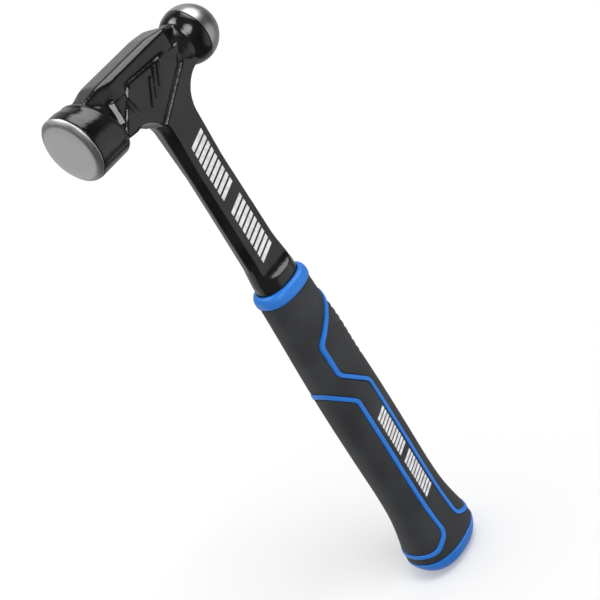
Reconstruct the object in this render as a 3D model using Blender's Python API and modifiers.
"""Ball peen hammer: one steel forging with a two-colour moulded grip.

The handle stands along Z with the head on top. The striking face looks along -X and the ball peen along +X.
The origin is on the handle's axis in the middle of the hand. Lengths are in metres, angles in degrees.
"""

from math import cos, pi, radians, sin

import bmesh
import bpy
from mathutils import Matrix, Vector

# Driving dimensions. Heights are measured from the end of the butt, and HAND is where the hand's middle is.
LENGTH = 0.330
HAND = 0.100
GAP = 0.0003

POLL_RADIUS = 0.0165
HEAD_AXIS = LENGTH - POLL_RADIUS
FACE_X = -0.0572
FACE_RADIUS = 0.0138
POLL_CHAMFER_X = -0.0554
POLL_REAR_X = -0.0420
NECK_RADIUS = 0.0112
BALL_X = 0.0335
BALL_RADIUS = 0.0134
BALL_BACK_X = 0.0251
PEEN_NECK_RADIUS = 0.0104

SHANK_HALF_WIDTH = 0.0111
SHANK_HALF_THICKNESS = 0.0050
BOSS_HALF_WIDTH = 0.0128
BOSS_HALF_THICKNESS = 0.0092
TANG_HALF_WIDTH = 0.0075
TANG_HALF_THICKNESS = 0.0032
TANG_END = 0.0300
SHANK_FOOT = 0.1960
SHANK_EDGE = 0.0016
PEEN_SIDE_TAPER = 0.0017
WEB_FOOT = 0.2620
WEB_HALF_THICKNESS = 0.0078
WEB_ARC_RADIUS = 0.0150
CHEEK_HALF_THICKNESS = 0.0088

RING_LOW = 0.1860
RING_HIGH = 0.1926
CAP_TOP = 0.0115
SKIN_THICKNESS = 0.0030
PIPING_WIDTH = 0.0023
PIPING_PROUD = 0.0004
GRIP_THINNESS = 0.78

# The grip's half width (along X) at heights above the butt, straight between them.
GRIP_PROFILE = (
    (0.0115, 0.0224),
    (0.0160, 0.0222),
    (0.0220, 0.0212),
    (0.0300, 0.0197),
    (0.0400, 0.0184),
    (0.0550, 0.0178),
    (0.0800, 0.0179),
    (0.1050, 0.0179),
    (0.1250, 0.0176),
    (0.1450, 0.0170),
    (0.1620, 0.0163),
    (0.1757, 0.0158),
    (0.1857, 0.0155),
)

# The piping's centre lines on the side of the grip, as (x, height) corners with the radius that rounds each.
# Each loop runs out past the grip's edge and so closes round the back or the front of the handle.
PEEN_SIDE_LOOP = (
    ((0.0300, 0.1830), 0.0),
    ((-0.0080, 0.1560), 0.0060),
    ((-0.0080, 0.1370), 0.0040),
    ((0.0062, 0.1215), 0.0040),
    ((0.0062, 0.0235), 0.0050),
    ((0.0160, 0.0175), 0.0050),
    ((0.0300, 0.0175), 0.0),
)
FACE_SIDE_LOOP = (
    ((-0.0300, 0.1450), 0.0),
    ((-0.0071, 0.1188), 0.0050),
    ((-0.0071, 0.0235), 0.0060),
    ((-0.0160, 0.0170), 0.0060),
    ((-0.0300, 0.0170), 0.0),
)
RIB_COUNT = 7
RIB_TOP = 0.1600
RIB_PITCH = 0.0042
RIB_GROOVE_RADIUS = 0.0011

BLACK_PAINT = ((0.012, 0.012, 0.013, 1.0), 0.25, 0.0)
BLACK_RUBBER = ((0.022, 0.022, 0.024, 1.0), 0.70, 0.0)
BLUE_PLASTIC = ((0.015, 0.150, 0.700, 1.0), 0.45, 0.0)
GREY_PLASTIC = ((0.060, 0.060, 0.065, 1.0), 0.55, 0.0)


def clear_scene():
    for obj in list(bpy.data.objects):
        bpy.data.objects.remove(obj)


def new_collection(name, hidden):
    collection = bpy.data.collections.new(name)
    bpy.context.scene.collection.children.link(collection)
    collection.hide_render = hidden
    return collection


def material(name, finish):
    colour, roughness, metallic = finish
    result = bpy.data.materials.new(name)
    result.use_nodes = True
    shader = result.node_tree.nodes["Principled BSDF"]
    shader.inputs["Base Color"].default_value = colour
    shader.inputs["Roughness"].default_value = roughness
    shader.inputs["Metallic"].default_value = metallic
    return result


def add_object(name, data, collection):
    obj = bpy.data.objects.new(name, data)
    collection.objects.link(obj)
    return obj


def as_part(obj, finish):
    """Names the piece's material, shades its round faces smooth and puts it among the parts."""
    obj.data.materials.clear()
    obj.data.materials.append(material(obj.name, finish))
    obj.data.shade_smooth()
    obj.data.set_sharp_from_angle(angle=radians(35))
    return obj


def as_helper(obj):
    obj.hide_render = True
    obj.display_type = "WIRE"
    return obj


def combine(obj, operation, other):
    boolean = obj.modifiers.new(other.name, "BOOLEAN")
    boolean.operation = operation
    boolean.solver = "EXACT"
    boolean.object = other


def section(half_width, half_thickness, power, steps):
    """A flattened ring of points, from an ellipse at power 2 towards a rectangle at a high power."""
    points = []
    for step in range(steps):
        angle = 2 * pi * step / steps
        across, along = cos(angle), sin(angle)
        x = half_width * (abs(across) ** (2 / power)) * (1 if across >= 0 else -1)
        y = half_thickness * (abs(along) ** (2 / power)) * (1 if along >= 0 else -1)
        points.append((x, y))
    return points


def loft(name, rings, collection):
    """A closed skin through rings of equal length, capped at the first and the last."""
    mesh = bmesh.new()
    rows = [[mesh.verts.new(point) for point in ring] for ring in rings]
    steps = len(rows[0])
    for low, high in zip(rows, rows[1:]):
        for step in range(steps):
            after = (step + 1) % steps
            mesh.faces.new((low[step], low[after], high[after], high[step]))
    mesh.faces.new(rows[0])
    mesh.faces.new(rows[-1])
    bmesh.ops.recalc_face_normals(mesh, faces=mesh.faces)
    data = bpy.data.meshes.new(name)
    mesh.to_mesh(data)
    mesh.free()
    return add_object(name, data, collection)


def turned(name, profile, steps, collection):
    """Turns a profile of (radius, height) about Z. It starts and ends on the axis and runs top to bottom."""
    data = bpy.data.meshes.new(name)
    points = [(radius, 0.0, height) for radius, height in profile]
    data.from_pydata(points, [(i, i + 1) for i in range(len(points) - 1)], [])
    obj = add_object(name, data, collection)
    screw = obj.modifiers.new("turn", "SCREW")
    screw.steps = steps
    screw.render_steps = steps
    screw.use_merge_vertices = True
    screw.merge_threshold = 0.00001
    return obj


def plate(name, outline, half_thickness, collection):
    """A flat outline of (x, height above the butt), extruded both ways along Y."""
    curve = bpy.data.curves.new(name, "CURVE")
    curve.dimensions = "2D"
    curve.fill_mode = "BOTH"
    curve.extrude = half_thickness
    spline = curve.splines.new("POLY")
    spline.points.add(len(outline) - 1)
    for point, (x, height) in zip(spline.points, outline):
        point.co = (x, height - HAND, 0.0, 1.0)
    spline.use_cyclic_u = True
    guide = add_object(name + "_outline", curve, collection)
    guide.rotation_euler = (radians(90), 0.0, 0.0)
    bpy.context.view_layer.update()
    graph = bpy.context.evaluated_depsgraph_get()
    data = bpy.data.meshes.new_from_object(guide.evaluated_get(graph))
    data.transform(guide.matrix_world)
    mesh = bmesh.new()
    mesh.from_mesh(data)
    bmesh.ops.remove_doubles(mesh, verts=mesh.verts, dist=0.000001)
    bmesh.ops.recalc_face_normals(mesh, faces=mesh.faces)
    mesh.to_mesh(data)
    mesh.free()
    bpy.data.objects.remove(guide)
    return add_object(name, data, collection)


def arc(centre, radius, start, end, steps):
    points = []
    for step in range(steps + 1):
        angle = radians(start + (end - start) * step / steps)
        points.append((centre[0] + radius * cos(angle), centre[1] + radius * sin(angle)))
    return points


def rounded(corners, steps):
    """The corners joined by straight runs, each corner rounded by an arc of its own radius."""
    points = []
    for index, (corner, radius) in enumerate(corners):
        here = Vector(corner)
        if radius == 0.0:
            points.append(here)
            continue
        back = (Vector(corners[index - 1][0]) - here).normalized()
        ahead = (Vector(corners[index + 1][0]) - here).normalized()
        half_angle = back.angle(ahead) / 2
        inward = (back + ahead).normalized()
        centre = here + inward * (radius / sin(half_angle))
        first = here + back * (radius * cos(half_angle) / sin(half_angle)) - centre
        last = here + ahead * (radius * cos(half_angle) / sin(half_angle)) - centre
        for step in range(steps + 1):
            spoke = first.lerp(last, step / steps).normalized()
            points.append(centre + spoke * radius)
    return points


def shifted(points, distance):
    """The open line moved sideways by a distance, to the left of its run when that is above zero."""
    result = []
    for index, here in enumerate(points):
        back = points[max(index - 1, 0)]
        ahead = points[min(index + 1, len(points) - 1)]
        run = (ahead - back).normalized()
        result.append(here + Vector((-run.y, run.x)) * distance)
    return result


def grip_half_width(height):
    for (low, narrow), (high, wide) in zip(GRIP_PROFILE, GRIP_PROFILE[1:]):
        if height <= high:
            share = (height - low) / (high - low)
            return narrow + share * (wide - narrow)
    return GRIP_PROFILE[-1][1]


def grip_solid(name, grow, low, high, collection):
    """The grip's outer form between two heights, grown outwards by a distance."""
    heights = [low] + [height for height, _ in GRIP_PROFILE if low < height < high] + [high]
    rings = []
    for height in heights:
        half_width = grip_half_width(min(max(height, GRIP_PROFILE[0][0]), GRIP_PROFILE[-1][0]))
        ring = section(half_width + grow, half_width * GRIP_THINNESS + grow, 2.3, 40)
        rings.append([(x, y, height - HAND) for x, y in ring])
    return loft(name, rings, collection)


def poll_turning(collection):
    """The striking end: chamfered face, short cylinder and a neck that runs into the head."""
    reach = -FACE_X
    profile = [
        (0.0, reach),
        (FACE_RADIUS, reach),
        (POLL_RADIUS, -POLL_CHAMFER_X),
        (POLL_RADIUS, -POLL_REAR_X),
        (POLL_RADIUS - 0.0012, -POLL_REAR_X - 0.0022),
        (POLL_RADIUS - 0.0036, -POLL_REAR_X - 0.0046),
        (NECK_RADIUS, -POLL_REAR_X - 0.0090),
        (NECK_RADIUS, 0.0180),
        (0.0, 0.0180),
    ]
    obj = turned("poll_turning", profile, 48, collection)
    obj.location = (0.0, 0.0, HEAD_AXIS - HAND)
    obj.rotation_euler = (0.0, radians(-90), 0.0)
    return as_helper(obj)


def peen_turning(collection):
    """The ball, round at the back as well, and its neck."""
    profile = [(0.0, BALL_X + BALL_RADIUS)]
    for step in range(1, 11):
        angle = radians(90 * (1 - step / 10))
        profile.append((BALL_RADIUS * cos(angle), BALL_X + BALL_RADIUS * sin(angle)))
    profile += [
        (BALL_RADIUS - 0.0004, BALL_X - 0.0032),
        (BALL_RADIUS - 0.0015, BALL_X - 0.0061),
        (PEEN_NECK_RADIUS, BALL_BACK_X),
        (PEEN_NECK_RADIUS, 0.0080),
        (0.0, 0.0080),
    ]
    obj = turned("peen_turning", profile, 48, collection)
    obj.location = (0.0, 0.0, HEAD_AXIS - HAND)
    obj.rotation_euler = (0.0, radians(90), 0.0)
    return as_helper(obj)


def head_barrel(collection):
    """The eight-sided middle of the head, highest between the two necks."""
    stations = (
        (-0.0400, 0.80, 0.86),
        (-0.0340, 0.92, 0.97),
        (-0.0260, 1.00, 1.00),
        (0.0070, 1.00, 1.00),
        (0.0140, 0.98, 0.94),
        (0.0200, 0.95, 0.84),
        (0.0250, 0.90, 0.66),
    )
    rings = []
    for x, wide, tall in stations:
        half = [(0.0056 * wide, 0.0151 * tall), (0.0088 * wide, 0.0078 * tall)]
        half += [(0.0088 * wide, -0.0070 * tall), (0.0062 * wide, -0.0116 * tall)]
        right = [(y, z) for y, z in half]
        left = [(-y, z) for y, z in reversed(half)]
        rings.append([(x, y, HEAD_AXIS - HAND + z) for y, z in right + left])
    return as_helper(loft("head_barrel", rings, collection))


def web_plate(collection):
    """The flat shank, which spreads and thickens through two large arcs into the web under the head."""
    face_arc_centre = (-SHANK_HALF_WIDTH - WEB_ARC_RADIUS, 0.2865)
    peen_arc_centre = (SHANK_HALF_WIDTH - PEEN_SIDE_TAPER + WEB_ARC_RADIUS, 0.2875)
    outline = [(-SHANK_HALF_WIDTH, SHANK_FOOT)]
    outline += arc(face_arc_centre, WEB_ARC_RADIUS, 0, 100, 14)
    outline += [(-0.0280, HEAD_AXIS), (0.0230, HEAD_AXIS)]
    outline += arc(peen_arc_centre, WEB_ARC_RADIUS, 88, 180, 14)
    outline += [(SHANK_HALF_WIDTH, SHANK_FOOT)]
    obj = plate("web_plate", outline, SHANK_HALF_THICKNESS, collection)
    mesh = bmesh.new()
    mesh.from_mesh(obj.data)
    everything = mesh.verts[:] + mesh.edges[:] + mesh.faces[:]
    foot = Vector((0.0, 0.0, WEB_FOOT - HAND))
    bmesh.ops.bisect_plane(mesh, geom=everything, plane_co=foot, plane_no=(0.0, 0.0, 1.0))
    draft = (WEB_HALF_THICKNESS / SHANK_HALF_THICKNESS - 1) / (HEAD_AXIS - WEB_FOOT)
    for vertex in mesh.verts:
        vertex.co.y *= 1 + draft * max(vertex.co.z - foot.z, 0.0)
    mesh.to_mesh(obj.data)
    mesh.free()
    bevel = obj.modifiers.new("edges", "BEVEL")
    bevel.width = SHANK_EDGE
    bevel.segments = 2
    bevel.limit_method = "ANGLE"
    bevel.angle_limit = radians(50)
    return as_helper(obj)


def cheek_plate(collection):
    """The raised three-cornered panel on both cheeks."""
    outline = [(-0.0285, 0.3040), (-0.0160, 0.2960), (0.0165, 0.3160), (0.0110, 0.3212), (-0.0210, 0.3212)]
    obj = plate("cheek_plate", outline, CHEEK_HALF_THICKNESS + 0.0004, collection)
    bevel = obj.modifiers.new("edges", "BEVEL")
    bevel.width = 0.0008
    bevel.segments = 1
    bevel.limit_method = "ANGLE"
    bevel.angle_limit = radians(50)
    return as_helper(obj)


def forged_body(parts, helpers):
    """Head, web, shank and hidden tang are one forging, so they are one solid."""
    levels = (
        (TANG_END, TANG_HALF_WIDTH * 0.8, TANG_HALF_THICKNESS, 6.0),
        (TANG_END + 0.010, TANG_HALF_WIDTH, TANG_HALF_THICKNESS, 6.0),
        (RING_LOW, TANG_HALF_WIDTH, TANG_HALF_THICKNESS, 6.0),
        (RING_LOW + GAP, BOSS_HALF_WIDTH, BOSS_HALF_THICKNESS, 2.6),
        (RING_HIGH + 0.0014, BOSS_HALF_WIDTH, BOSS_HALF_THICKNESS, 2.6),
        (RING_HIGH + 0.0050, BOSS_HALF_WIDTH - 0.0010, BOSS_HALF_THICKNESS - 0.0016, 3.2),
        (RING_HIGH + 0.0110, SHANK_HALF_WIDTH + 0.0003, SHANK_HALF_THICKNESS + 0.0003, 5.0),
        (RING_HIGH + 0.0200, SHANK_HALF_WIDTH - 0.0008, SHANK_HALF_THICKNESS - 0.0008, 8.0),
    )
    rings = []
    for height, half_width, half_thickness, power in levels:
        ring = section(half_width, half_thickness, power, 40)
        rings.append([(x, y, height - HAND) for x, y in ring])
    obj = loft("forged_body", rings, parts)
    for helper in (web_plate, head_barrel, poll_turning, peen_turning, cheek_plate):
        combine(obj, "UNION", helper(helpers))
    return as_part(obj, BLACK_PAINT)


def grip_core(parts, helpers):
    """The hard moulding round the tang, under the soft skin."""
    obj = grip_solid("grip_core", -SKIN_THICKNESS - GAP, CAP_TOP + GAP, RING_LOW - GAP, parts)
    bore = []
    for height in (TANG_END - GAP, RING_LOW):
        ring = section(TANG_HALF_WIDTH + GAP, TANG_HALF_THICKNESS + GAP, 6.0, 40)
        bore.append([(x, y, height - HAND) for x, y in ring])
    combine(obj, "DIFFERENCE", as_helper(loft("tang_bore", bore, helpers)))
    return as_part(obj, GREY_PLASTIC)


def loop_prism(name, loop, outwards, distance, helpers):
    """A block as wide as the grip, bounded by a piping line moved by a distance."""
    line = shifted(rounded(loop, 5), distance * outwards)
    return as_helper(plate(name, [tuple(point) for point in line], 0.0300, helpers))


def grip_skin(name, grow, high, parts, helpers):
    """The soft skin's shell between the butt cap and the given height, open at both ends."""
    obj = grip_solid(name, grow, CAP_TOP + GAP, high, parts)
    hollow = grip_solid(name + "_hollow", -SKIN_THICKNESS, CAP_TOP - 0.002, RING_LOW + 0.002, helpers)
    combine(obj, "DIFFERENCE", as_helper(hollow))
    return obj


def grip_sleeve(parts, helpers):
    """The main black cover, with a window for each piping loop."""
    obj = grip_skin("grip_sleeve", 0.0, RING_LOW - GAP, parts, helpers)
    margin = PIPING_WIDTH / 2 + GAP
    for side, loop, outwards in (("peen", PEEN_SIDE_LOOP, -1), ("face", FACE_SIDE_LOOP, 1)):
        combine(obj, "DIFFERENCE", loop_prism(side + "_window", loop, outwards, margin, helpers))
    return as_part(obj, BLACK_RUBBER)


def side_pieces(side, loop, outwards, parts, helpers):
    """A coloured piping loop and the black panel inside it."""
    half = PIPING_WIDTH / 2
    piping = grip_skin(side + "_side_piping", PIPING_PROUD, RING_LOW - GAP, parts, helpers)
    combine(piping, "INTERSECT", loop_prism(side + "_piping_outer", loop, outwards, half, helpers))
    combine(piping, "DIFFERENCE", loop_prism(side + "_piping_inner", loop, outwards, -half, helpers))
    as_part(piping, BLUE_PLASTIC)
    panel = grip_skin(side + "_side_panel", 0.0, RING_LOW - GAP, parts, helpers)
    combine(panel, "INTERSECT", loop_prism(side + "_panel_edge", loop, outwards, -half - GAP, helpers))
    as_part(panel, BLACK_RUBBER)
    return piping, panel


def cut_ribs(panel, helpers):
    """Small grooves across the back edge of the panel leave a row of ribs under the fingers."""
    for index in range(RIB_COUNT):
        height = RIB_TOP - index * RIB_PITCH
        data = bpy.data.meshes.new("rib_groove_%d" % (index + 1))
        mesh = bmesh.new()
        turn = Matrix.Rotation(radians(90), 4, "X")
        bmesh.ops.create_cone(
            mesh,
            cap_ends=True,
            segments=12,
            radius1=RIB_GROOVE_RADIUS,
            radius2=RIB_GROOVE_RADIUS,
            depth=0.03,
            matrix=turn,
        )
        mesh.to_mesh(data)
        mesh.free()
        groove = add_object(data.name, data, helpers)
        groove.location = (grip_half_width(height) + 0.0004, 0.0, height - HAND)
        combine(panel, "DIFFERENCE", as_helper(groove))


def collar_ring(parts, helpers):
    """The coloured ring where the shank enters the grip."""
    top = GRIP_PROFILE[-1][1]
    rings = []
    for height, grow in (
        (RING_LOW, 0.0002),
        (RING_LOW + 0.0012, 0.0007),
        (RING_HIGH - 0.0014, 0.0002),
        (RING_HIGH, -0.0012),
    ):
        ring = section(top + grow, top * GRIP_THINNESS + grow, 2.3, 40)
        rings.append([(x, y, height - HAND) for x, y in ring])
    obj = loft("collar_ring", rings, parts)
    bore = []
    for height in (RING_LOW - 0.001, RING_HIGH + 0.001):
        ring = section(BOSS_HALF_WIDTH + GAP, BOSS_HALF_THICKNESS + GAP, 2.6, 40)
        bore.append([(x, y, height - HAND) for x, y in ring])
    combine(obj, "DIFFERENCE", as_helper(loft("collar_bore", bore, helpers)))
    return as_part(obj, BLUE_PLASTIC)


def butt_cap(parts):
    """The domed end of the grip."""
    rim = GRIP_PROFILE[0][1]
    rings = []
    for step in range(9):
        angle = radians(8 + 82 * step / 8)
        height = CAP_TOP * (1 - cos(angle))
        scale = sin(angle) ** 0.75
        ring = section(rim * scale, rim * GRIP_THINNESS * scale, 2.3, 40)
        rings.append([(x, y, height - HAND) for x, y in ring])
    return as_part(loft("butt_cap", rings, parts), BLUE_PLASTIC)


def main():
    clear_scene()
    parts = new_collection("ball_peen_hammer", hidden=False)
    helpers = new_collection("cutters", hidden=True)
    forged_body(parts, helpers)
    grip_core(parts, helpers)
    grip_sleeve(parts, helpers)
    _, peen_panel = side_pieces("peen", PEEN_SIDE_LOOP, -1, parts, helpers)
    cut_ribs(peen_panel, helpers)
    side_pieces("face", FACE_SIDE_LOOP, 1, parts, helpers)
    collar_ring(parts, helpers)
    butt_cap(parts)


main()
